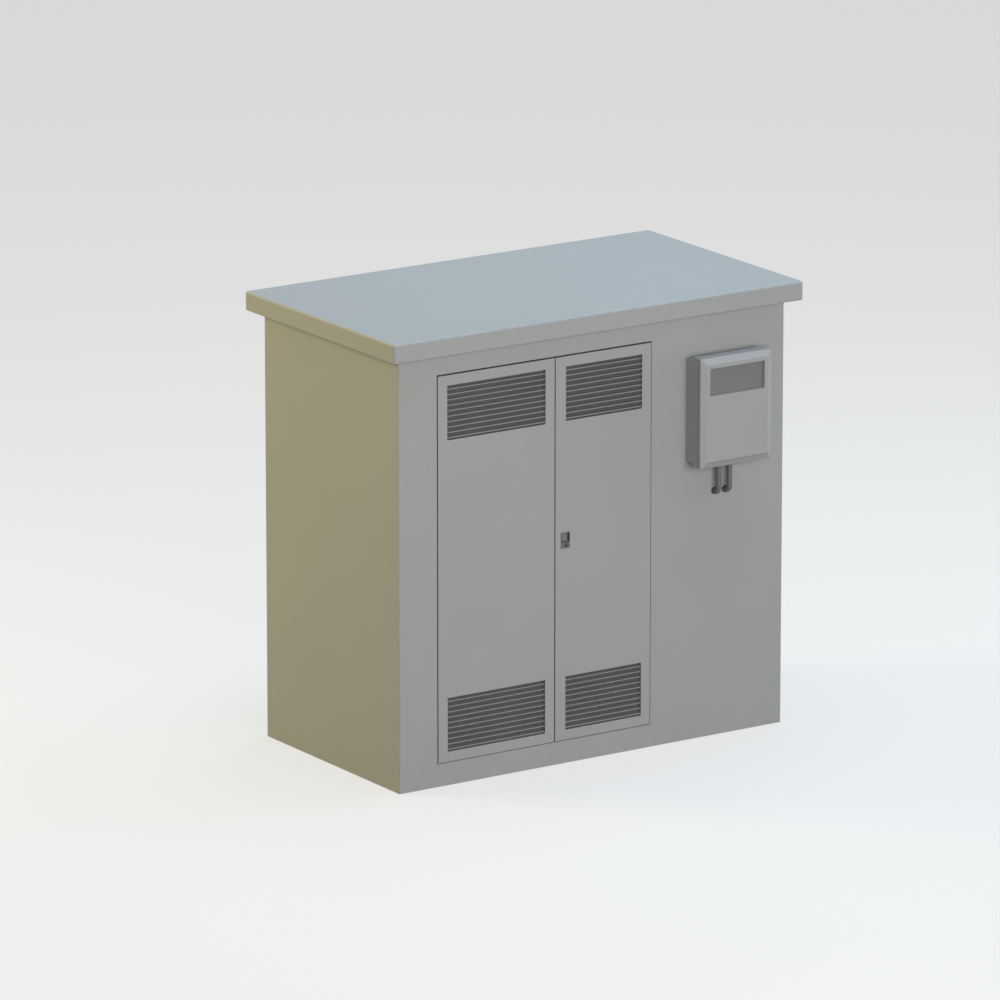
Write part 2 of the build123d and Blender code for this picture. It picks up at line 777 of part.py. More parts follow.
# Shoot bolts of the left leaf: flat bars with a round knob on the inside
def shoot_bolt(tip_z, inward):
    """Bolt whose tip stands just inside the leaf's end, with its knob at the other end."""
    end_z = tip_z + inward * bolt_length
    knob_z = end_z - inward * bolt_knob_inset
    flat = (rod_depth, rod_depth + rod_thickness)
    round_end = (rod_depth + rod_thickness, rod_depth + rod_thickness + bolt_knob_reach)
    with BuildPart() as bolt:
        slab((bolt_x - bolt_width / 2, bolt_x + bolt_width / 2), flat, (tip_z, end_z))
        rod_along_y([(bolt_x, knob_z)], bolt_knob_radius, round_end)
        chamfer(bolt.faces().sort_by(Axis.Y)[-1].edges(), 1.2)
    return bolt


finish("left_top_bolt", shoot_bolt(leaf_top - rod_recess, -1))
finish("left_bottom_bolt", shoot_bolt(leaf_bottom + rod_recess, 1))

# Lock housing, flush in the right leaf: a pocket for the pull and a bore for the key barrel
pocket_left = lock_left + pocket_wall
pocket_right = lock_right - pocket_wall
pocket_top = lock_top - pocket_head
pocket_bottom = pocket_top - pocket_height
handle_axis_x = pocket_left + handle_axis_inset
handle_axis_depth = handle_thickness - handle_proud
with BuildPart() as lock_housing:
    with BuildSketch(behind(-lock_proud)):
        with Locations(((lock_left + lock_right) / 2, (lock_bottom + lock_top) / 2)):
            RectangleRounded(lock_width, lock_height, lock_corner_radius)
    extrude(amount=-(lock_depth + lock_proud))
    slab(
        (lock_left - lock_flange, lock_right + lock_flange), (wall_sheet, wall_sheet + lock_flange_sheet),
        (lock_bottom - lock_flange, lock_top + lock_flange)
    )
    pocket_zs = (pocket_bottom, pocket_top)
    slab((pocket_left, pocket_right), (-lock_proud, pocket_depth), pocket_zs, Mode.SUBTRACT)
    bore = barrel_radius + running_clearance
    rod_along_y([(barrel_x, barrel_z)], bore, (-lock_proud, lock_depth), Mode.SUBTRACT)
    rod_along_z(
        [(handle_axis_x, at(handle_axis_depth))], handle_pin_radius + running_clearance,
        (pocket_bottom - 2, pocket_top + 2), Mode.SUBTRACT
    )
finish("lock_housing", lock_housing)

# Pull: a plate on a vertical pin at its left edge, with room for a finger at its right
handle_zs = (pocket_bottom + handle_low_gap, pocket_top - handle_end_gap)
with BuildPart() as lock_pull:
    slab(
        (handle_axis_x, handle_axis_x + handle_width), (-handle_proud, handle_thickness - handle_proud),
        handle_zs
    )
    fillet(lock_pull.faces().sort_by(Axis.X)[-1].edges(), 0.6)
    rod_along_z([(handle_axis_x, at(handle_axis_depth))], handle_knuckle_radius, handle_zs)
    rod_along_z(
        [(handle_axis_x, at(handle_axis_depth))], handle_pin_radius, (pocket_bottom - 1.7, pocket_top + 1.7)
    )
finish("lock_pull", lock_pull)

# Key barrel: rim, keyway, body in the housing's bore, collar behind it and the shaft for the pinion
rim_back = -lock_proud - moving_gap
collar_front = lock_depth + moving_gap
collar_back = collar_front + barrel_collar_height
shaft_end = rod_depth + rod_thickness + 3
rim_front = rim_back - barrel_rim_height
barrel_steps = [
    (0, rim_front), (barrel_rim_radius - barrel_rim_chamfer, rim_front),
    (barrel_rim_radius, rim_front + barrel_rim_chamfer), (barrel_rim_radius, rim_back),
    (barrel_radius, rim_back), (barrel_radius, collar_front), (barrel_collar_radius, collar_front),
    (barrel_collar_radius, collar_back), (barrel_shaft_radius, collar_back),
    (barrel_shaft_radius, shaft_end), (0, shaft_end),
]
with BuildPart() as key_barrel:
    with BuildSketch(Plane.YZ.offset(barrel_x)):
        with BuildLine():
            Polyline(*[(at(depth), barrel_z + radius) for radius, depth in barrel_steps], close=True)
        make_face()
    revolve(axis=Axis((barrel_x, 0, barrel_z), (0, 1, 0)))
    slab(
        (barrel_x - keyway_width / 2, barrel_x + keyway_width / 2), (rim_front, rim_front + keyway_depth),
        (barrel_z - keyway_height / 2, barrel_z + keyway_height / 2), Mode.SUBTRACT
    )
finish("key_barrel", key_barrel)


# Rack and pinion that throws the rods: one quarter turn moves both racks by the same length
def involute_point(base_radius, radius, side, middle_angle):
    """Point of a tooth flank at a radius. The tooth is centred on middle_angle."""
    roll = sqrt((radius / base_radius) ** 2 - 1)
    flank = roll - acos(base_radius / radius)
    pitch_roll = sqrt((pinion_radius / base_radius) ** 2 - 1)
    pitch_flank = pitch_roll - acos(base_radius / pinion_radius)
    half = (tooth_pitch - tooth_backlash) / 4 / pinion_radius + pitch_flank - flank
    angle = middle_angle + side * half
    return (radius * cos(angle), radius * sin(angle))


def pinion_tooth(middle_angle):
    """Outline of one pinion tooth from its root to its tip and back."""
    base_radius = pinion_radius * cos(radians(pressure_angle))
    tip_radius = pinion_radius + gear_module
    steps = [base_radius + (tip_radius - base_radius) * i / 3 for i in range(4)]
    rising = [involute_point(base_radius, r, -1, middle_angle) for r in steps]
    falling = [involute_point(base_radius, r, 1, middle_angle) for r in reversed(steps)]
    root = (pinion_radius - tooth_root) * 0.97
    half = (tooth_pitch - tooth_backlash) / 4 / pinion_radius * 1.2
    foot = [(root * cos(middle_angle + s * half), root * sin(middle_angle + s * half)) for s in (-1, 1)]
    return [foot[0], *rising, *falling, foot[1]]


with BuildPart() as lock_pinion:
    with BuildSketch(behind(rod_depth)):
        with Locations((barrel_x, barrel_z)):
            Circle(pinion_radius - tooth_root)
            for i in range(pinion_teeth):
                Polygon(*pinion_tooth(2 * pi * i / pinion_teeth), align=None)
            Circle(barrel_shaft_radius + fit_clearance, mode=Mode.SUBTRACT)
    extrude(amount=-rod_thickness)
finish("lock_pinion", lock_pinion)


def rack_tooth(side, z):
    """Outline of one rack tooth that points from its bar towards the pinion."""
    pitch_line = barrel_x + side * pinion_radius
    slope = tan(radians(pressure_angle))
    half = (tooth_pitch - tooth_backlash) / 4
    tip = pitch_line - side * gear_module
    root = pitch_line + side * tooth_root
    return [
        (root, z - half - tooth_root * slope),
        (tip, z - half + gear_module * slope),
        (tip, z + half - gear_module * slope),
        (root, z + half + tooth_root * slope),
    ]


rod_depths = (rod_depth, rod_depth + rod_thickness)
rack_reach = rod_rack_teeth * tooth_pitch
upper_rod_end = barrel_z - rack_reach + 1.5 * tooth_pitch
upper_tooth_zs = [barrel_z + (0.5 - i) * tooth_pitch for i in range(-1, rod_rack_teeth - 2)]
with BuildPart() as upper_rod:
    slab(
        (upper_rod_x - rod_width / 2, upper_rod_x + rod_width / 2), rod_depths,
        (upper_rod_end, leaf_top - rod_recess)
    )
    with BuildSketch(behind(rod_depth)):
        for z in upper_tooth_zs:
            with BuildLine():
                Polyline(*rack_tooth(-1, z), close=True)
            make_face()
    extrude(amount=-rod_thickness)
finish("upper_rod", upper_rod)

# The lower rod steps across below the pinion, so that both rods run on one line beside the grilles
lower_rod_end = 2 * barrel_z - upper_rod_end
lower_tooth_zs = [2 * barrel_z - z for z in upper_tooth_zs]
arm_top = upper_rod_end - rod_arm_drop + rod_arm_height
with BuildPart() as lower_rod:
    slab(
        (lower_rack_x - rod_width / 2, lower_rack_x + rod_width / 2), rod_depths,
        (arm_top - rod_arm_height, lower_rod_end)
    )
    slab(
        (upper_rod_x - rod_width / 2, lower_rack_x + rod_width / 2), rod_depths,
        (arm_top - rod_arm_height, arm_top)
    )
    slab(
        (upper_rod_x - rod_width / 2, upper_rod_x + rod_width / 2), rod_depths,
        (leaf_bottom + rod_recess, arm_top)
    )
    with BuildSketch(behind(rod_depth)):
        for z in lower_tooth_zs:
            with BuildLine():
                Polyline(*rack_tooth(1, z), close=True)
            make_face()
    extrude(amount=-rod_thickness)
finish("lower_rod", lower_rod)

# Meter box base: a tray on the wall with a wider rim, and two hinge lugs on its right
box_left = meter_box_x - meter_box_width / 2
box_right = meter_box_x + meter_box_width / 2
rim_height = meter_box_height + 2 * meter_rim_lip
cover_back = meter_rim_reach + meter_cover_gap
cover_front = cover_back + meter_cover_side + meter_cover_bevel
meter_axis_x = box_right - meter_axis_inset
meter_axis_y = at(-(cover_back + meter_axis_depth))
lug_zs = (rim_bottom + meter_lug_from_end, rim_top - meter_lug_from_end)
meter_pin_half = meter_lug_height / 2 + meter_knuckle_gap + meter_knuckle_height
with BuildPart() as meter_box_base:
    with BuildSketch(behind(0)):
        with Locations((meter_box_x, meter_box_z)):
            RectangleRounded(meter_box_width, meter_box_height, meter_corner_radius)
    extrude(amount=meter_base_reach)
    with BuildSketch(behind(-meter_base_reach)):
        with Locations((meter_box_x, meter_box_z)):
            RectangleRounded(meter_box_width, rim_height, meter_corner_radius)
    extrude(amount=meter_rim_reach - meter_base_reach)
    with BuildSketch(behind(-meter_wall)):
        with Locations((meter_box_x, meter_box_z)):
            Rectangle(meter_box_width - 2 * meter_wall, meter_box_height - 2 * meter_wall)
    extrude(amount=meter_rim_reach - meter_wall, mode=Mode.SUBTRACT)
    with BuildSketch(behind(-meter_base_reach - meter_wall)):
        with Locations((meter_box_x, meter_box_z)):
            Rectangle(meter_box_width - 2 * meter_wall, rim_height - 2 * meter_wall)
    extrude(amount=meter_rim_reach - meter_base_reach - meter_wall, mode=Mode.SUBTRACT)
    for z in lug_zs:
        zs = (z - meter_lug_height / 2, z + meter_lug_height / 2)
        half = meter_lug_width / 2
        root = (-meter_base_reach - meter_wall, -meter_rim_reach)
        slab((meter_axis_x - half, box_right - meter_wall), root, zs)
        neck = (-meter_rim_reach, -cover_back - meter_axis_depth)
        slab((meter_axis_x - half, meter_axis_x + half), neck, zs)
        rod_along_z([(meter_axis_x, meter_axis_y)], meter_knuckle_radius, zs)
        rod_along_z([(meter_axis_x, meter_axis_y)], meter_pin_radius + running_clearance, zs, Mode.SUBTRACT)
    rod_along_y(meter_screws, screw_hole_radius, (-meter_wall, 0), Mode.SUBTRACT)
    rod_along_z(
        [(x, at(-conduit_reach)) for x in conduit_xs], conduit_radius + fit_clearance,
        (box_bottom, box_bottom + meter_wall), Mode.SUBTRACT
    )
finish("meter_box_base", meter_box_base)

with BuildPart() as meter_box_screws:
    rod_along_y(meter_screws, screw_radius, (-meter_wall, 3 * wall_sheet))
    rod_along_y(meter_screws, screw_head_radius, (-meter_wall - screw_head_height, -meter_wall))
finish("meter_box_screws", meter_box_screws)

# Meter box cover: shallow tray with bevelled edges, a recessed window and a groove along its foot
cover_inner_width = meter_box_width - 2 * meter_bevel_width
cover_inner_height = rim_height - 2 * meter_bevel_width
window_depths = (-(cover_front - window_recess), -cover_front)
with BuildPart() as cover_solid:
    with BuildSketch(behind(-cover_back)):
        with Locations((meter_box_x, meter_box_z)):
            Rectangle(meter_box_width, rim_height)
    extrude(amount=meter_cover_side)
    with BuildSketch(behind(-cover_back - meter_cover_side)):
        with Locations((meter_box_x, meter_box_z)):
            Rectangle(meter_box_width, rim_height)
    with BuildSketch(behind(-cover_front)):
        with Locations((meter_box_x, meter_box_z)):
            Rectangle(cover_inner_width, cover_inner_height)
    loft()
    offset(amount=-meter_cover_wall, openings=cover_solid.faces().sort_by(Axis.Y)[-1])
with BuildPart() as meter_cover:
    add(cover_solid.part)
    lip_low = box_left + meter_lip_width
    lip_high = box_right - meter_hinge_lip_width
    with BuildSketch(behind(-cover_back)):
        with Locations((meter_box_x, meter_box_z)):
            Rectangle(meter_box_width, rim_height)
        with Locations(((lip_low + lip_high) / 2, meter_box_z)):
            Rectangle(lip_high - lip_low, rim_height - 2 * meter_lip_width, mode=Mode.SUBTRACT)
    extrude(amount=meter_lip_thickness)
    for z in lug_zs:
        reach = meter_lug_height / 2 + meter_notch_margin
        slab(
            (meter_axis_x - meter_lug_width / 2 - meter_notch_margin, box_right),
            (-cover_back, -cover_back - meter_notch_depth), (z - reach, z + reach), Mode.SUBTRACT
        )
        for side in (-1, 1):
            near = z + side * (meter_lug_height / 2 + meter_knuckle_gap)
            far = near + side * meter_knuckle_height
            zs = (min(near, far), max(near, far))
            rod_along_z([(meter_axis_x, meter_axis_y)], meter_knuckle_radius, zs)
            middle = -cover_back - meter_axis_depth
            web = (middle - meter_knuckle_radius, middle + meter_knuckle_radius)
            slab((meter_axis_x, box_right - meter_cover_wall / 2), web, (z + side * reach, far))
    for z in lug_zs:
        zs = (z - meter_pin_half, z + meter_pin_half)
        rod_along_z([(meter_axis_x, meter_axis_y)], meter_pin_radius, zs, Mode.SUBTRACT)
    slab(
        (window_x - window_width / 2 - window_wall, window_x + window_width / 2 + window_wall),
        window_depths,
        (window_z - window_height / 2 - window_wall, window_z + window_height / 2 + window_wall)
    )
    slab(
        (window_x - window_width / 2, window_x + window_width / 2), window_depths,
        (window_z - window_height / 2, window_z + window_height / 2), Mode.SUBTRACT
    )
    groove_z = meter_box_z - cover_inner_height / 2
    slab(
        (meter_box_x - cover_inner_width / 2, meter_box_x + cover_inner_width / 2),
        (-cover_front + groove_wall, -cover_front + groove_depth + groove_wall),
        (groove_z - groove_wall, groove_z + groove_width + groove_wall)
    )
    slab(
        (meter_box_x - cover_inner_width / 2, meter_box_x + cover_inner_width / 2),
        (-cover_front, -cover_front + groove_depth), (groove_z, groove_z + groove_width), Mode.SUBTRACT
    )
finish("meter_cover", meter_cover)

# Window pane behind the frame of the recess
pane_back = -(cover_front - window_recess)
with BuildPart() as meter_window_pane:
    slab(
        (window_x - window_width / 2 - pane_lap, window_x + window_width / 2 + pane_lap),
        (pane_back, pane_back + pane_thickness),
        (window_z - window_height / 2 - pane_lap, window_z + window_height / 2 + pane_lap)
    )
finish("meter_window_pane", meter_window_pane)

# Seal on the back of the cover's lip
seal_low = box_left + meter_seal_inset
seal_high = box_right - meter_seal_hinge_inset
with BuildPart() as meter_cover_seal:
    with BuildSketch(behind(-cover_back)):
        with Locations(((seal_low + seal_high) / 2, meter_box_z)):
            Rectangle(seal_high - seal_low, rim_height - 2 * meter_seal_inset)
            Rectangle(
                seal_high - seal_low - 2 * meter_seal_width,
                rim_height - 2 * meter_seal_inset - 2 * meter_seal_width, mode=Mode.SUBTRACT
            )
    extrude(amount=-(meter_cover_gap - moving_gap))
finish("meter_cover_seal", meter_cover_seal)

# Hinge pins of the cover, one through each lug and its two knuckles
with BuildPart() as meter_hinge_pins:
    pin_size = meter_pin_radius - fit_clearance / 2
    for z in lug_zs:
        rod_along_z([(meter_axis_x, meter_axis_y)], pin_size, (z - meter_pin_half, z + meter_pin_half))
finish("meter_hinge_pins", meter_hinge_pins)

# Meter and its terminal cover, on the back of the box
meter_depths = (-meter_wall - meter_depth, -meter_wall)
with BuildPart() as meter:
    with BuildSketch(behind(-meter_wall)):
        with Locations((meter_box_x, meter_low_z + meter_height / 2)):
            RectangleRounded(meter_width, meter_height, meter_edge_radius)
    extrude(amount=meter_depth)
    fillet(meter.faces().sort_by(Axis.Y)[0].edges(), 4)
    slab(
        (window_x - display_width / 2, window_x + display_width / 2),
        (meter_depths[0], meter_depths[0] + display_recess),
        (window_z - display_height / 2, window_z + display_height / 2), Mode.SUBTRACT
    )
finish("meter", meter)

with BuildPart() as meter_terminal_cover:
    with BuildSketch(behind(-meter_wall)):
        with Locations((meter_box_x, meter_low_z - terminal_cover_height / 2)):
            Rectangle(meter_width, terminal_cover_height)
    extrude(amount=terminal_cover_depth)
    fillet(meter_terminal_cover.faces().sort_by(Axis.Y)[0].edges().filter_by(Axis.X), 5)
finish("meter_terminal_cover", meter_terminal_cover)


# Conduits: tubes that leave the box downwards and bend back through the wall
def conduit(x):
    """One tube, from inside the box, round a tight bend and into the cabinet."""
    y = at(-conduit_reach)
    bend_axis = Axis((x, y + conduit_bend, conduit_z + conduit_bend), (1, 0, 0))
    with BuildPart() as tube:
        with BuildSketch(Plane.XY.offset(conduit_z + conduit_bend)) as section:
            with Locations((x, y)):
                Circle(conduit_radius)
                Circle(conduit_radius - conduit_wall, mode=Mode.SUBTRACT)
        extrude(section.sketch, amount=box_bottom + conduit_top_lap - conduit_z - conduit_bend)
        revolve(section.sketch, axis=bend_axis, revolution_arc=90)
        with BuildSketch(behind(conduit_bend - conduit_reach)) as end:
            with Locations((x, conduit_z)):
                Circle(conduit_radius)
                Circle(conduit_radius - conduit_wall, mode=Mode.SUBTRACT)
        extrude(end.sketch, amount=-(conduit_inside + conduit_reach - conduit_bend))
    return tube


finish("conduit_left", conduit(conduit_xs[0]))
finish("conduit_right", conduit(conduit_xs[1]))

# Hexagon glands under the box and rubber grommets in the wall, one each for a conduit
with BuildPart() as conduit_glands:
    with BuildSketch(Plane.XY.offset(box_bottom - gland_height)):
        with Locations(*[(x, at(-conduit_reach)) for x in conduit_xs]):
            RegularPolygon(gland_flats / 2, 6, major_radius=False)
            Circle(conduit_radius + fit_clearance, mode=Mode.SUBTRACT)
    extrude(amount=gland_height)
finish("conduit_glands", conduit_glands)

conduit_ends = [(x, conduit_z) for x in conduit_xs]
lip_radius = grommet_radius + grommet_lip
with BuildPart() as conduit_grommets:
    rod_along_y(conduit_ends, grommet_radius, (0, wall_sheet))
    rod_along_y(conduit_ends, lip_radius, (-grommet_lip_thickness, 0))
    rod_along_y(conduit_ends, lip_radius, (wall_sheet, wall_sheet + grommet_lip_thickness))
    rod_along_y(
        conduit_ends, conduit_radius + fit_clearance,
        (-grommet_lip_thickness, wall_sheet + grommet_lip_thickness), Mode.SUBTRACT
    )
finish("conduit_grommets", conduit_grommets)

# Cross rails between the side walls, and the mounting plate bolted to them
plate_back = plate_depth + plate_sheet
plate_top_z = plate_low_z + plate_height
rail_zs = (plate_low_z + rail_from_end, plate_top_z - rail_from_end)
with BuildPart() as cross_rails:
    with BuildSketch(Plane.YZ.offset(-inner_width / 2)):
        with Locations(*[(at(plate_back + rail_reach / 2), z) for z in rail_zs]):
            Rectangle(rail_reach, rail_height)
        with Locations(*[(at(plate_back + rail_reach / 2 + rail_sheet / 2), z) for z in rail_zs]):
            Rectangle(rail_reach - rail_sheet, rail_height - 2 * rail_sheet, mode=Mode.SUBTRACT)
    extrude(amount=inner_width)
finish("cross_rails", cross_rails)

plate_bolt_x = plate_width / 2 - plate_bolt_inset
plate_bolts = [(x, z) for x in (-plate_bolt_x, 0, plate_bolt_x) for z in rail_zs]
with BuildPart() as mounting_plate:
    with BuildSketch(behind(plate_depth)):
        with Locations((0, plate_low_z + plate_height / 2)):
            Rectangle(plate_width, plate_height)
        with Locations(*plate_bolts):
            Circle(screw_hole_radius, mode=Mode.SUBTRACT)
    extrude(amount=-plate_sheet)
finish("mounting_plate", mounting_plate)

with BuildPart() as mounting_plate_bolts:
    with BuildSketch(behind(plate_depth)):
        with Locations(*plate_bolts):
            RegularPolygon(5, 6, major_radius=False)
    extrude(amount=4)
    with BuildSketch(behind(plate_depth)):
        with Locations(*plate_bolts):
            Circle(screw_radius)
    extrude(amount=-plate_sheet)
finish("mounting_plate_bolts", mounting_plate_bolts)

# Main switch with its rotary handle
switch_front = plate_depth - switch_depth
switch_terminals = [
    (switch_x + i * switch_terminal_pitch, switch_z + k * (switch_height / 2 - switch_step))
    for i in (-1, 0, 1) for k in (-1, 1)
]
with BuildPart() as main_switch:
    with BuildSketch(behind(plate_depth)):
        with Locations((switch_x, switch_z)):
            Rectangle(switch_width, switch_height)
    extrude(amount=switch_depth * 0.55)
    with BuildSketch(behind(plate_depth)):
        with Locations((switch_x, switch_z)):
            Rectangle(switch_width, switch_height - 4 * switch_step)
    extrude(amount=switch_depth)
    fillet(main_switch.faces().sort_by(Axis.Y)[0].edges(), 3)
    front = plate_depth - switch_depth * 0.55
    rod_along_y(switch_terminals, switch_terminal_radius, (front, front + 12), Mode.SUBTRACT)
    rod_along_y(
        [(switch_x, switch_z)], knob_shaft_radius + running_clearance,
        (switch_front, switch_front + knob_shaft_length), Mode.SUBTRACT
    )
finish("main_switch", main_switch)

knob_back = switch_front - knob_gap
with BuildPart() as switch_handle:
    rod_along_y([(switch_x, switch_z)], knob_radius, (knob_back - knob_height, knob_back))
    chamfer(switch_handle.faces().sort_by(Axis.Y)[0].edges(), 1.5)
    with BuildSketch(behind(knob_back - knob_height)):
        with Locations((switch_x, switch_z)):
            SlotOverall(grip_length, grip_width, rotation=90)
    extrude(amount=grip_height)
    shaft_depths = (knob_back, switch_front + knob_shaft_length - 1)
    rod_along_y([(switch_x, switch_z)], knob_shaft_radius, shaft_depths)
finish("switch_handle", switch_handle)

# Busbars on ribbed supports
bar_zs = [busbar_top_z - i * busbar_pitch for i in range(3)]
support_xs = (busbar_x - support_spread, busbar_x, busbar_x + support_spread)
bar_front = plate_depth - support_depth
with BuildPart() as busbar_supports:
    with BuildSketch(behind(plate_depth)):
        with Locations(*[(x, bar_zs[1]) for x in support_xs]):
            Rectangle(support_width, 2 * busbar_pitch + busbar_height + 2 * support_end)
    extrude(amount=support_depth)
    with BuildSketch(behind(bar_front)):
        with Locations(*[(x, z) for x in support_xs for z in bar_zs]):
            Rectangle(support_width, busbar_height)
    extrude(amount=-support_groove, mode=Mode.SUBTRACT)
finish("busbar_supports", busbar_supports)

with BuildPart() as busbars:
    with BuildSketch(behind(bar_front + support_groove)):
        with Locations(*[(busbar_x, z) for z in bar_zs]):
            Rectangle(busbar_length, busbar_height)
    extrude(amount=busbar_thickness)
finish("busbars", busbars)

# Top-hat rail and the two three-pole breakers clipped on it
with BuildPart() as din_rail:
    with BuildSketch(Plane.YZ.offset(din_x - din_length / 2)):
        crown = din_crown / 2
        brim = din_width / 2
        points = [
            (0, -crown), (0, crown), (din_height - din_sheet, crown), (din_height - din_sheet, brim),
            (din_height, brim), (din_height, crown - din_sheet), (din_sheet, crown - din_sheet),
            (din_sheet, din_sheet - crown), (din_height, din_sheet - crown), (din_height, -brim),
            (din_height - din_sheet, -brim), (din_height - din_sheet, -crown),
        ]
        with BuildLine():
            Polyline(*[(at(plate_depth - reach), din_z + z) for reach, z in points], close=True)
        make_face()
    extrude(amount=din_length)
finish("din_rail", din_rail)


def breaker(x):
    """Three-pole breaker body with a stepped front, a clip recess behind and a slot for its toggle."""
    clip = din_width / 2 + breaker_clip_gap
    half = breaker_height / 2
    nose = breaker_nose_height / 2
    points = [
        (breaker_back, -half), (breaker_body_depth, -half), (breaker_body_depth, -nose),
        (breaker_depth, -nose), (breaker_depth, nose), (breaker_body_depth, nose),
        (breaker_body_depth, half), (breaker_back, half), (breaker_back, clip),
        (din_height, clip), (din_height, -clip), (breaker_back, -clip),
    ]
    axis = [(at(plate_depth - toggle_axis_depth), din_z)]
    with BuildPart() as body:
        with BuildSketch(Plane.YZ.offset(x - breaker_width / 2)):
            with BuildLine():
                Polyline(*[(at(plate_depth - reach), din_z + z) for reach, z in points], close=True)
            make_face()
        extrude(amount=breaker_width)
        slab(
            (x - toggle_slot_width / 2, x + toggle_slot_width / 2),
            (plate_depth - breaker_depth, plate_depth - breaker_depth + toggle_slot_depth),
            (din_z - toggle_slot_height / 2, din_z + toggle_slot_height / 2), Mode.SUBTRACT
        )
        with BuildSketch(Plane.YZ.offset(x - toggle_slot_width / 2 - 3)):
            with Locations(*axis):
                Circle(toggle_stub_radius + running_clearance)
        extrude(amount=toggle_slot_width + 6, mode=Mode.SUBTRACT)
    return body


def breaker_toggle(x):
    """Toggle bar that joins the three poles, tilted up at rest, on two stub pivots."""
    wide = toggle_slot_width - 2 * toggle_side_gap
    axis_y = at(plate_depth - toggle_axis_depth)
    with BuildPart() as toggle:
        with BuildSketch(Plane.YZ.offset(x - wide / 2)):
            with Locations((axis_y, din_z)):
                Circle(toggle_barrel_radius)
            with Locations(Location((axis_y, din_z), -toggle_tilt)):
                with Locations((-toggle_length / 2, 0)):
                    Rectangle(toggle_length, toggle_thickness)
        extrude(amount=wide)
        with BuildSketch(Plane.YZ.offset(x - wide / 2 - 2.5)):
            with Locations((axis_y, din_z)):
                Circle(toggle_stub_radius)
        extrude(amount=wide + 5)
    return toggle


finish("breaker_1", breaker(breaker_xs[0]))
finish("breaker_2", breaker(breaker_xs[1]))
finish("breaker_toggle_1", breaker_toggle(breaker_xs[0]))
finish("breaker_toggle_2", breaker_toggle(breaker_xs[1]))

# Earth bar on two insulating standoffs
earth_places = [(earth_x - standoff_spread, earth_z), (earth_x + standoff_spread, earth_z)]
with BuildPart() as earth_bar_standoffs:
    rod_along_y(earth_places, standoff_radius, (plate_depth - standoff_height, plate_depth))
finish("earth_bar_standoffs", earth_bar_standoffs)

with BuildPart() as earth_bar:
    with BuildSketch(behind(plate_depth - standoff_height)):
        with Locations((earth_x, earth_z)):
            Rectangle(earth_length, earth_height)
            with GridLocations(earth_hole_pitch, 0, earth_hole_count, 1):
                Circle(earth_hole_radius, mode=Mode.SUBTRACT)
    extrude(amount=earth_thickness)
finish("earth_bar", earth_bar)
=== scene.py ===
import bpy
import math
from mathutils import Matrix, Vector


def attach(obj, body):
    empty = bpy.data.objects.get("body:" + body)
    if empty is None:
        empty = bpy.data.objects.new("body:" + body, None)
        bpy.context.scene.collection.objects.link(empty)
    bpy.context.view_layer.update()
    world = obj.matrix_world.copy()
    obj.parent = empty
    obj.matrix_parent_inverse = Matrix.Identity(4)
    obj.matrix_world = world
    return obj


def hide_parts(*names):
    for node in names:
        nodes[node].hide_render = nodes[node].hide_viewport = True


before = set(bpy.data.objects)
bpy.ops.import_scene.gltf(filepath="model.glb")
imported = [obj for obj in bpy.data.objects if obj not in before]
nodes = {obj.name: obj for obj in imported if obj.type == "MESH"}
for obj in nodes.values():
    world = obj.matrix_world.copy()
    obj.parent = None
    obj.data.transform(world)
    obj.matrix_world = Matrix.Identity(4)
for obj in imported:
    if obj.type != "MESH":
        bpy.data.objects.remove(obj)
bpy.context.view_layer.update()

# Studio: a wide pale floor under the cabinet and four large soft lamps, seen from the front left
# and a little above with a long lens. Floor and sky are pale where they are seen or mirrored, and
# dim for the light that they throw back on the cabinet.
floor_half_width = 60.0
floor_drop = 0.0005
floor_dark, floor_seen, floor_glow = 0.12, 0.20, 0.62
sky_dim, sky_seen = 0.145, 0.52

scene = bpy.context.scene
scene.view_settings.view_transform = "Standard"
camera_place = (-15.4368, -23.0760, 8.1433)
camera_direction = (0.53505, 0.80490, -0.25634)
camera_data = bpy.data.cameras.new("camera")
camera_data.lens = 316.01
camera_data.sensor_width = 36.0
camera_data.clip_end = 200.0
camera = bpy.data.objects.new("camera", camera_data)
camera.location = camera_place
camera.rotation_euler = Vector(camera_direction).to_track_quat("-Z", "Y").to_euler()
scene.collection.objects.link(camera)
scene.camera = camera


def grey(level):
    return (level, level, level)


def feed(tree, value, socket):
    """Link an output into a socket, or set the socket to a plain value."""
    if isinstance(value, bpy.types.NodeSocket):
        tree.links.new(value, socket)
    else:
        socket.default_value = value


def combine(tree, operation, first, second):
    node = tree.nodes.new("ShaderNodeMath")
    node.operation = operation
    feed(tree, first, node.inputs[0])
    feed(tree, second, node.inputs[1])
    return node.outputs[0]


def mixed(tree, amount, first, second):
    node = tree.nodes.new("ShaderNodeMix")
    node.data_type = "RGBA"
    for index, value in ((0, amount), (6, first), (7, second)):
        feed(tree, value, node.inputs[index])
    return node.outputs[2]


def seen_rays(tree):
    """1 for what the camera sees straight, mirrored or through a pane, and 0 for other light."""
    rays = tree.nodes.new("ShaderNodeLightPath").outputs
    seen = combine(tree, "MAXIMUM", rays["Is Camera Ray"], rays["Is Glossy Ray"])
    return combine(tree, "MAXIMUM", seen, rays["Is Transmission Ray"])


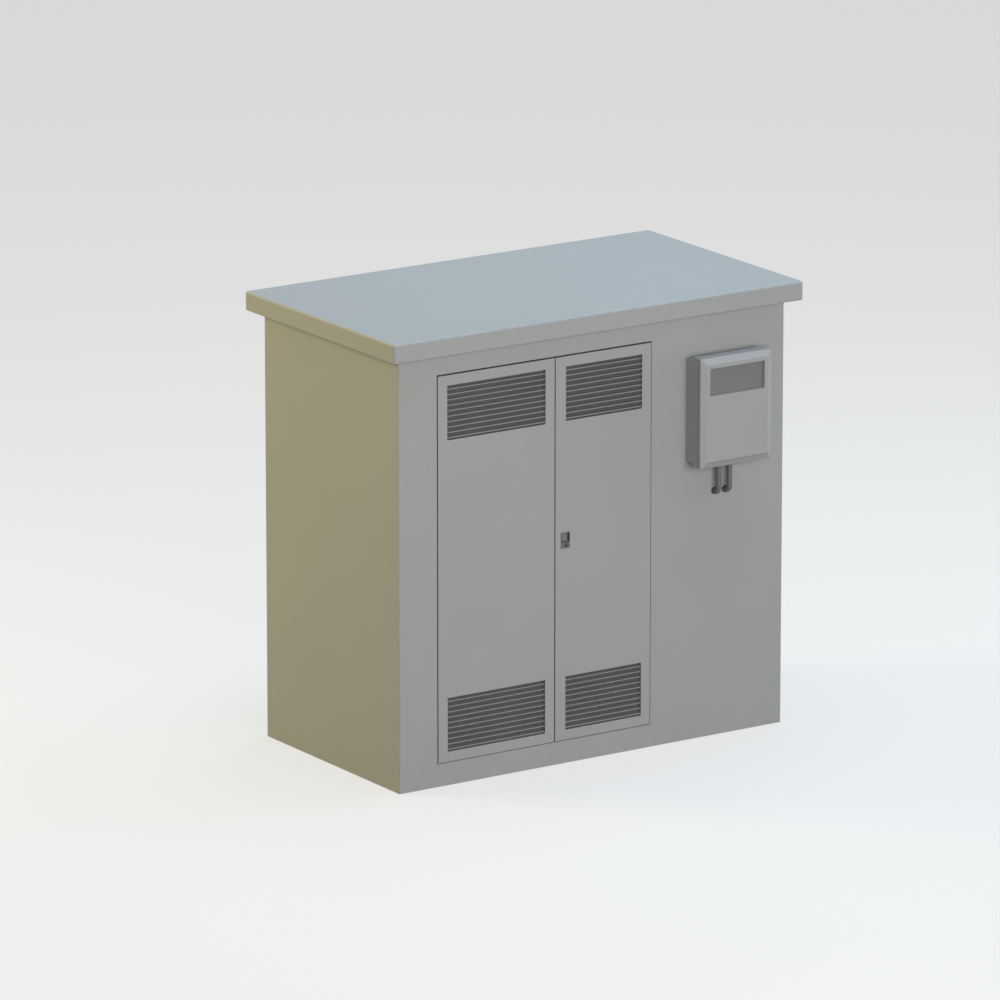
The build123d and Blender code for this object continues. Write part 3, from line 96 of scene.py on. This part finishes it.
floor_paper = bpy.data.materials.new("studio_floor")
floor_paper.use_nodes = True
tree = floor_paper.node_tree
paper = tree.nodes["Principled BSDF"].inputs
paper["Roughness"].default_value = 0.95
paper["Emission Color"].default_value = (*grey(1.0), 1)
seen = seen_rays(tree)
feed(tree, mixed(tree, seen, (*grey(floor_dark), 1), (*grey(floor_seen), 1)), paper["Base Color"])
feed(tree, combine(tree, "MULTIPLY", seen, floor_glow), paper["Emission Strength"])
floor_mesh = bpy.data.meshes.new("floor")
floor_corners = [(x * floor_half_width, y * floor_half_width, 0)
                 for x, y in ((-1, -1), (1, -1), (1, 1), (-1, 1))]
floor_mesh.from_pydata(floor_corners, [], [(0, 1, 2, 3)])
floor_mesh.materials.append(floor_paper)
floor = bpy.data.objects.new("floor", floor_mesh)
floor.location.z = -floor_drop
scene.collection.objects.link(floor)

world = bpy.data.worlds.new("studio_world")
world.use_nodes = True
tree = world.node_tree
sky = tree.nodes["Background"].inputs
sky["Color"].default_value = (*grey(1.0), 1)
pale = combine(tree, "MULTIPLY", seen_rays(tree), sky_seen)
feed(tree, combine(tree, "ADD", pale, sky_dim), sky["Strength"])
scene.world = world

# each lamp's name, place, the point it is aimed at, width and height, watts and colour
for name, spot, aim, size, power, colour in (
        ("front_softbox", (-1.2, -8.0, 2.7), (0.0, -0.4, 0.8), (7.0, 3.4), 498, (1.0, 0.985, 0.975)),
        ("warm_side_softbox", (-6.0, 4.5, 3.6), (-0.75, 0.0, 0.9), (3.0, 3.0), 438, (1.0, 0.858, 0.385)),
        ("cool_top_softbox", (0.9, 0.2, 6.0), (0.0, 0.0, 1.5), (4.0, 4.0), 259, (0.56, 0.79, 1.0)),
        ("cool_right_softbox", (6.0, -1.2, 2.4), (0.75, 0.0, 1.0), (2.5, 3.0), 120, (0.80, 0.93, 1.0))):
    light = bpy.data.lights.new(name, "AREA")
    light.shape = "RECTANGLE"
    light.size, light.size_y = size
    light.energy = power
    light.color = colour
    lamp = bpy.data.objects.new(name, light)
    lamp.location = spot
    lamp.rotation_euler = (Vector(aim) - Vector(spot)).to_track_quat("-Z", "Y").to_euler()
    scene.collection.objects.link(lamp)


# Base frame and floor plate: welded steel channel and a folded sheet, hot-dip galvanised, with the
# slow cloudy pattern of the zinc. The cable slot's edge has a black rubber trim pushed over it.
def new_tree(name, kind, inputs, outputs):
    """A node tree with named sockets, and the sockets of its two end nodes."""
    tree = bpy.data.node_groups.new(name, kind)
    for label, socket_kind, *value in inputs:
        socket = tree.interface.new_socket(
            name=label, in_out="INPUT", socket_type="NodeSocket" + socket_kind)
        if value:
            socket.default_value = value[0]
    for label, socket_kind in outputs:
        tree.interface.new_socket(name=label, in_out="OUTPUT", socket_type="NodeSocket" + socket_kind)
    return tree, tree.nodes.new("NodeGroupInput").outputs, tree.nodes.new("NodeGroupOutput").inputs


def node_with(tree, kind, **values):
    """A new node with inputs linked or set; _ stands for each space in an input's name."""
    node = tree.nodes.new(kind)
    for label, value in values.items():
        feed(tree, value, node.inputs[label.replace("_", " ")])
    return node


def noise(tree, scale, detail, place):
    node = node_with(tree, "ShaderNodeTexNoise", Scale=scale, Detail=detail, Vector=place)
    return node.outputs["Fac"]


def spread(tree, value, low, high, to_low, to_high):
    node = node_with(tree, "ShaderNodeMapRange", Value=value, From_Min=low, From_Max=high,
                     To_Min=to_low, To_Max=to_high)
    return node.outputs["Result"]


def combine_vectors(tree, operation, first, second):
    """Vector maths of two values; for SCALE the second one is a plain number."""
    node = tree.nodes.new("ShaderNodeVectorMath")
    node.operation = operation
    feed(tree, first, node.inputs[0])
    feed(tree, second, node.inputs["Scale" if operation == "SCALE" else 1])
    return node.outputs[0]


def coated_surface():
    """Slow mottling of the tone, dust that settles on what faces up, rain splash near the ground,
    painted shade on the narrow edges that face sideways round a gap, and a fine grain for the bump."""
    splash_height = 0.16
    rub, rub_per_mottle, dirt_roughness = 0.04, 25.0, 0.5
    tree, taken, given = new_tree(
        "coated_surface", "ShaderNodeTree",
        [("Tone", "Color", (0.4, 0.4, 0.4, 1)), ("Dust tone", "Color", (0.45, 0.43, 0.40, 1)),
         ("Mottle", "Float", 0.04), ("Dust", "Float", 0.15), ("Splash", "Float", 0.15),
         ("Edge grime", "Float", 0.0), ("Roughness", "Float", 0.45), ("Grain size", "Float", 700.0)],
        [("Color", "Color"), ("Roughness", "Float"), ("Grain", "Float")])
    surface = tree.nodes.new("ShaderNodeTexCoord").outputs
    place = surface["Object"]
    facing = node_with(tree, "ShaderNodeSeparateXYZ", Vector=surface["Normal"]).outputs
    height = node_with(tree, "ShaderNodeSeparateXYZ", Vector=place).outputs["Z"]

    def times(first, second):
        return combine(tree, "MULTIPLY", first, second)

    def patches(scale, detail, low, high, to_low, to_high):
        return spread(tree, noise(tree, scale, detail, place), low, high, to_low, to_high)

    mottling = combine(tree, "ADD", times(patches(2.3, 4, 0.3, 0.7, -1, 1), taken["Mottle"]), 1.0)
    # Painted shade: faces turned sideways, the narrow edges round a gap, are darkened to stand in for
    # the shade in the gap.
    on_edge = spread(tree, combine(tree, "ABSOLUTE", facing["Y"], 0.0), 0.5, 0.85, 1, 0)
    gap_shading = combine(tree, "SUBTRACT", 1.0, times(on_edge, taken["Edge grime"]))
    tone = combine_vectors(tree, "SCALE", taken["Tone"], times(mottling, gap_shading))
    settled = times(spread(tree, facing["Z"], 0.6, 1.0, 0, 1), patches(9.0, 6, 0.35, 0.7, 0, 1))
    splashed = times(spread(tree, height, splash_height, 0.0, 0, 1), patches(26.0, 7, 0.4, 0.75, 0, 1))
    dirty = combine(tree, "MAXIMUM", times(settled, taken["Dust"]), times(splashed, taken["Splash"]))
    feed(tree, mixed(tree, dirty, tone, taken["Dust tone"]), given["Color"])
    rubbed = times(patches(14.0, 5, 0.3, 0.7, -rub, rub), times(taken["Mottle"], rub_per_mottle))
    rough = combine(tree, "ADD", taken["Roughness"], rubbed)
    feed(tree, combine(tree, "ADD", rough, times(dirty, dirt_roughness)), given["Roughness"])
    feed(tree, noise(tree, taken["Grain size"], 2, place), given["Grain"])
    return tree


coating = coated_surface()


def coated(name, tone, roughness, bump=0.00006, metallic=0.0, specular=0.5, **values):
    material = bpy.data.materials.new(name)
    material.use_nodes = True
    tree = material.node_tree
    coat = tree.nodes["Principled BSDF"].inputs
    coat["Metallic"].default_value = metallic
    coat["Specular IOR Level"].default_value = specular
    group = tree.nodes.new("ShaderNodeGroup")
    group.node_tree = coating
    group.inputs["Tone"].default_value = (*tone, 1)
    group.inputs["Roughness"].default_value = roughness
    for label, value in values.items():
        group.inputs[label.replace("_", " ")].default_value = value
    feed(tree, group.outputs["Color"], coat["Base Color"])
    feed(tree, group.outputs["Roughness"], coat["Roughness"])
    relief = node_with(tree, "ShaderNodeBump", Strength=1.0, Distance=bump,
                       Height=group.outputs["Grain"])
    feed(tree, relief.outputs["Normal"], coat["Normal"])
    return material


def finish_node(material, *names):
    for name in names:
        mesh = nodes[name].data
        mesh.materials.clear()
        mesh.materials.append(material)


galvanised = coated("galvanised_sheet", (0.50, 0.51, 0.52), 0.5, bump=0.00003, metallic=0.55,
                    Mottle=0.05)
finish_node(galvanised, "base_frame", "floor_plate")
rubber = coated("black_rubber", grey(0.02), 0.7)
finish_node(rubber, "cable_slot_trim")

# Body shell, door frame, centre post and rear panel: folded steel sheet, spot welded and sprayed
# with a light grey powder coat that dries with a very fine orange peel. The rear panel is held by
# ten plated screws.
powder_grey = grey(0.34)
grey_paint = coated("grey_powder_coat", powder_grey, 0.5, specular=0.35, Mottle=0.02, Dust=0.05)
finish_node(grey_paint, "body_shell", "door_frame", "centre_post", "rear_panel")


def fastener_tree():
    """Heads and shanks on the points of a mesh, round with a cross recess or with flat sides."""
    ring_tolerance = 0.0002
    bar_length, bar_depth = 1.15, 0.8
    shank_sides = 16
    full_turn = 6.283
    tree, taken, given = new_tree(
        "fasteners", "GeometryNodeTree",
        [("Places", "Geometry"), ("Head radius", "Float", 0.006), ("Head height", "Float", 0.0055),
         ("Head chamfer", "Float", 0.001), ("Shank radius", "Float", 0.0025),
         ("Shank length", "Float", 0.006), ("Recess width", "Float", 0.0014), ("Sides", "Int", 32),
         ("Recessed", "Bool", True), ("Turned", "Bool", True), ("Facing", "Vector"),
         ("Seed", "Int", 7), ("Finish", "Material")],
        [("Fasteners", "Geometry")])

    def made(kind, **values):
        return node_with(tree, kind, **values).outputs[0]

    def maths(operation, first, second):
        return combine(tree, operation, first, second)

    def vector(**values):
        return made("ShaderNodeCombineXYZ", **values)

    def raised(shape, amount):
        return made("GeometryNodeTransform", Geometry=shape, Translation=vector(Z=amount))

    # the head is one cylinder whose top ring is drawn in, so it stays a closed shape
    head = made("GeometryNodeMeshCylinder", Vertices=taken["Sides"], Side_Segments=2,
                Radius=taken["Head radius"], Depth=taken["Head height"])
    where = made("GeometryNodeInputPosition")
    level = node_with(tree, "ShaderNodeSeparateXYZ", Vector=where).outputs["Z"]
    half_height = maths("MULTIPLY", taken["Head height"], 0.5)
    on_top = maths("GREATER_THAN", level, maths("MULTIPLY", half_height, 0.5))
    top_radius = maths("SUBTRACT", taken["Head radius"], taken["Head chamfer"])
    narrower = maths("DIVIDE", top_radius, taken["Head radius"])
    drawn_in = combine_vectors(tree, "MULTIPLY", where, vector(X=narrower, Y=narrower, Z=1.0))
    head = made("GeometryNodeSetPosition", Geometry=head, Selection=on_top, Position=drawn_in)
    # the middle ring goes up to the foot of the chamfer
    lift = vector(Z=maths("SUBTRACT", half_height, taken["Head chamfer"]))
    on_ring = maths("LESS_THAN", maths("ABSOLUTE", level, 0.0), ring_tolerance)
    head = made("GeometryNodeSetPosition", Geometry=head, Selection=on_ring, Offset=lift)
    # the cross recess is two bars cut into the top
    bar_size = vector(X=maths("MULTIPLY", taken["Head radius"], bar_length), Y=taken["Recess width"],
                      Z=maths("MULTIPLY", taken["Head height"], bar_depth))
    bars = tree.nodes.new("GeometryNodeJoinGeometry")
    for turn in (0.0, math.pi / 2):
        bar = made("GeometryNodeMeshCube", Size=bar_size)
        bar = made("GeometryNodeTransform", Geometry=bar, Rotation=(0.0, 0.0, turn))
        feed(tree, bar, bars.inputs[0])
    cut = tree.nodes.new("GeometryNodeMeshBoolean")
    cut.operation = "DIFFERENCE"
    feed(tree, head, cut.inputs["Mesh 1"])
    feed(tree, raised(bars.outputs[0], half_height), cut.inputs["Mesh 2"])
    chosen = tree.nodes.new("GeometryNodeSwitch")
    chosen.input_type = "GEOMETRY"
    feed(tree, taken["Recessed"], chosen.inputs["Switch"])
    feed(tree, head, chosen.inputs["False"])
    feed(tree, cut.outputs["Mesh"], chosen.inputs["True"])
    shank = made("GeometryNodeMeshCylinder", Vertices=shank_sides, Radius=taken["Shank radius"],
                 Depth=taken["Shank length"])
    whole = tree.nodes.new("GeometryNodeJoinGeometry")
    feed(tree, raised(chosen.outputs[0], half_height), whole.inputs[0])
    feed(tree, raised(shank, maths("MULTIPLY", taken["Shank length"], -0.5)), whole.inputs[0])
    # one stands on each point, faces its way and is turned about itself
    points = made("GeometryNodeMeshToPoints", Mesh=taken["Places"])
    set_out = made("GeometryNodeInstanceOnPoints", Points=points, Instance=whole.outputs[0],
                   Rotation=taken["Facing"])
    spin = tree.nodes.new("FunctionNodeRandomValue")
    spin.data_type = "FLOAT"
    spin.inputs[2].default_value = 0.0
    spin.inputs[3].default_value = full_turn
    feed(tree, taken["Seed"], spin.inputs["Seed"])
    spun = vector(Z=maths("MULTIPLY", spin.outputs[1], taken["Turned"]))
    set_out = made("GeometryNodeRotateInstances", Instances=set_out, Rotation=spun)
    real = made("GeometryNodeRealizeInstances", Geometry=set_out)
    flat = made("GeometryNodeSetShadeSmooth", Geometry=real, Shade_Smooth=False)
    painted = made("GeometryNodeSetMaterial", Geometry=flat, Material=taken["Finish"])
    feed(tree, painted, given["Fasteners"])
    return tree


fasteners = fastener_tree()


def worked_out(name, tree, base, values):
    """The plain mesh that a tree makes of a base mesh, as a piece at the origin."""
    carrier = bpy.data.objects.new(name + "_carrier", base)
    scene.collection.objects.link(carrier)
    modifier = carrier.modifiers.new(tree.name, "NODES")
    modifier.node_group = tree
    named = {item.name: item.identifier for item in tree.interface.items_tree if item.in_out == "INPUT"}
    for label, value in values.items():
        modifier[named[label.replace("_", " ")]] = value
    carrier.update_tag()
    shape = bpy.data.meshes.new_from_object(carrier.evaluated_get(bpy.context.evaluated_depsgraph_get()))
    carrier.modifiers.remove(modifier)
    bpy.data.objects.remove(carrier)
    shape.name = name
    piece = bpy.data.objects.new(name, shape)
    scene.collection.objects.link(piece)
    return piece


def lattice(columns, depth, heights):
    """Points at one depth, column by column and each column from its foot up."""
    return [(x, depth, z) for x in columns for z in heights]


def fasten(name, node, material, places, **sizes):
    base = bpy.data.meshes.new(name + "_places")
    base.from_pydata(places, [], [])
    piece = worked_out(name, fasteners, base, dict(sizes, Finish=material))
    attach(piece, "cabinet")
    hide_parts(node)


to_the_back = (-math.pi / 2, 0.0, 0.0)
to_the_front = (math.pi / 2, 0.0, 0.0)
plated = coated("zinc_plated", (0.60, 0.60, 0.58), 0.35, bump=0.00002, metallic=1.0)
rear_face = 0.398
rear_places = lattice((-0.735, 0.735), rear_face, (0.4339, 0.7777, 1.1216))
rear_places += lattice((-0.375, 0.375), rear_face, (0.075, 1.4815))
fasten("rear_panel_screws_cross", "rear_panel_screws", plated, rear_places,
       Head_radius=0.006, Head_height=0.0055, Facing=to_the_back)

# Roof cap: a sheet with a deep fascia folded down all round, in a cleaner, more even coat of the
# body's grey. Weld studs inside its corners hold it with zinc-plated nuts.
roof_paint = coated("roof_powder_coat", powder_grey, 0.5, specular=0.35, Mottle=0.012, Dust=0.03)
finish_node(roof_paint, "roof_cap")
finish_node(plated, "roof_nuts")

# Door leaves: folded sheet with turned-in edges in the same paint, hung on dark steel pins at their
# outer ends. Painted shade darkens the narrow edges round the gaps, and a rubber seal runs behind.
leaf_paint = coated("leaf_powder_coat", powder_grey, 0.5, specular=0.35, Mottle=0.02, Dust=0.05,
                    Edge_grime=0.5)
finish_node(leaf_paint, "left_leaf", "right_leaf")
dark_steel = coated("dark_steel", grey(0.10), 0.5, metallic=0.6)
finish_node(dark_steel, "upper_hinge_pins", "lower_hinge_pins")
finish_node(rubber, "left_leaf_seal", "right_leaf_seal")

# Louvre grilles: ten folded slats each, pressed from thinner sheet in a slightly darker grey, with a
# grey fibre filter mat pushed in behind them.
slat_paint = coated("slat_powder_coat", grey(0.242), 0.55, specular=0.35, Mottle=0.02, Dust=0.05)
finish_node(slat_paint, "left_upper_grille", "left_lower_grille", "right_upper_grille",
            "right_lower_grille")
filter_fibre = coated("filter_fibre", grey(0.085), 0.95, bump=0.0008, Grain_size=420.0)
finish_node(filter_fibre, "left_filter_mats", "right_filter_mats")

# Bolts, rods and their guides: drawn steel, galvanised, sliding in brackets that are welded to the
# backs of the leaves and to the door frame.
finish_node(galvanised, "left_top_bolt", "left_bottom_bolt", "left_bolt_guides", "upper_rod",
            "lower_rod", "right_rod_guides", "rod_keepers")

# Lock: a die-cast housing let into the right leaf, a folding pull in its pocket and a round key
# barrel under it, which turns the plated pinion between the two rods.
lock_paint = coated("lock_casting", (0.12, 0.12, 0.122), 0.45, bump=0.0001, Mottle=0.05, Dust=0.0)
finish_node(lock_paint, "lock_housing")
pull_paint = coated("lock_pull", (0.15, 0.15, 0.155), 0.4, bump=0.0001, Mottle=0.05, Dust=0.0)
finish_node(pull_paint, "lock_pull")
barrel_steel = coated("key_barrel_steel", (0.09, 0.09, 0.092), 0.35, bump=0.00002, metallic=0.5)
finish_node(barrel_steel, "key_barrel")
finish_node(plated, "lock_pinion")

# Meter box base: a sheet tray in the same grey powder coat, with a rim all round and two hinge
# lugs. Four plated screws hold it on the front wall.
box_paint = coated("box_powder_coat", powder_grey, 0.45, specular=0.4, Mottle=0.015, Dust=0.0)
finish_node(box_paint, "meter_box_base")
box_back = -0.403
fasten("meter_box_screws_cross", "meter_box_screws", plated,
       lattice((0.391, 0.611), box_back, (0.9867, 1.252)),
       Head_radius=0.006, Head_height=0.0035, Shank_length=0.009, Facing=to_the_front)

# Conduits: stiff grey-brown plastic tubes, warm-bent at the foot and led back through the wall, with
# a plastic gland under the box and a rubber grommet in the wall.
conduit_plastic = coated("conduit_plastic", (0.135, 0.128, 0.12), 0.4, Mottle=0.05, Dust=0.0)
finish_node(conduit_plastic, "conduit_left", "conduit_right")
gland_plastic = coated("gland_plastic", grey(0.20), 0.45, Mottle=0.04, Dust=0.0)
finish_node(gland_plastic, "conduit_glands")
finish_node(rubber, "conduit_grommets")

# Meter box cover: a shallow tray with bevelled edges in the box's paint, hung on two plated pins,
# with a grey tinted pane behind its window and a rubber seal on its back.
finish_node(box_paint, "meter_cover")
finish_node(plated, "meter_hinge_pins")
pane_tint = coated("window_pane", grey(0.17), 0.25, bump=0.00001, Mottle=0.0, Dust=0.0)
finish_node(pane_tint, "meter_window_pane")
finish_node(rubber, "meter_cover_seal")

# Meter: a pale moulded case with a dark terminal cover, screwed to the back of the meter box. Its
# display recess holds a register, a thin dark plate with a row of number windows.
pale_plastic = coated("pale_plastic", (0.62, 0.62, 0.59), 0.45, Mottle=0.03, Dust=0.05)
dark_plastic = coated("dark_plastic", (0.03, 0.03, 0.033), 0.4)
finish_node(pale_plastic, "meter")
finish_node(dark_plastic, "meter_terminal_cover")


def register_tree():
    """A row of number windows across a dark plate, centred on the origin and facing the front."""
    tree, taken, given = new_tree(
        "register", "GeometryNodeTree",
        [("Base", "Geometry"), ("Windows", "Int", 6), ("Spacing", "Float", 0.013),
         ("Window size", "Vector"), ("Plate size", "Vector"), ("Window finish", "Material"),
         ("Plate finish", "Material")],
        [("Register", "Geometry")])
    along = node_with(tree, "ShaderNodeCombineXYZ", X=taken["Spacing"]).outputs[0]
    steps_back = combine(tree, "MULTIPLY", combine(tree, "SUBTRACT", taken["Windows"], 1.0), -0.5)
    start = combine_vectors(tree, "SCALE", along, steps_back)
    row = node_with(tree, "GeometryNodeMeshLine", Count=taken["Windows"], Start_Location=start,
                    Offset=along)
    window = node_with(tree, "GeometryNodeMeshCube", Size=taken["Window size"])
    plate = node_with(tree, "GeometryNodeMeshCube", Size=taken["Plate size"])
    placed = node_with(tree, "GeometryNodeInstanceOnPoints", Points=row.outputs["Mesh"],
                       Instance=window.outputs["Mesh"])
    real = node_with(tree, "GeometryNodeRealizeInstances", Geometry=placed.outputs[0])
    both = tree.nodes.new("GeometryNodeJoinGeometry")
    for shape, finish in ((real, "Window finish"), (plate, "Plate finish")):
        painted = node_with(tree, "GeometryNodeSetMaterial", Geometry=shape.outputs[0],
                            Material=taken[finish])
        feed(tree, painted.outputs[0], both.inputs[0])
    feed(tree, both.outputs[0], given["Register"])
    return tree


display_middle = (0.49825, -0.46345, 1.22425)
register = worked_out("meter_register", register_tree(), bpy.data.meshes.new("register_base"), dict(
    Windows=6, Spacing=0.0125, Window_size=(0.0088, 0.0014, 0.0150),
    Plate_size=(0.0950, 0.0008, 0.0370), Window_finish=pale_plastic, Plate_finish=dark_plastic))
register.data.transform(Matrix.Translation(display_middle))
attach(register, "cabinet")

# Cross rails and mounting plate: galvanised sheet. The plate is held to the rails with six plated
# hexagon bolts.
finish_node(galvanised, "cross_rails", "mounting_plate")
plate_face = 0.337
fasten("mounting_plate_hexagon_bolts", "mounting_plate_bolts", plated,
       lattice((-0.6, 0.0, 0.6), plate_face, (0.26, 1.29)),
       Sides=6, Recessed=False, Turned=False, Head_radius=0.005775, Head_height=0.004,
       Head_chamfer=0.0005, Shank_length=0.003, Facing=to_the_front)

# Switch gear on the plate: main switch with a red handle, bare copper busbars on resin supports, two
# breakers on a top-hat rail, and an earth bar on standoffs.
finish_node(dark_plastic, "main_switch", "breaker_toggle_1", "breaker_toggle_2")
red_plastic = coated("red_plastic", (0.45, 0.02, 0.015), 0.3, Mottle=0.03, Dust=0.0)
finish_node(red_plastic, "switch_handle")
copper = coated("copper_bar", (0.55, 0.28, 0.17), 0.5, metallic=0.8, Mottle=0.05, Dust=0.0)
finish_node(copper, "busbars", "earth_bar")
resin = coated("red_brown_resin", (0.20, 0.045, 0.03), 0.4, Dust=0.05)
finish_node(resin, "busbar_supports", "earth_bar_standoffs")
finish_node(galvanised, "din_rail")
finish_node(pale_plastic, "breaker_1", "breaker_2")
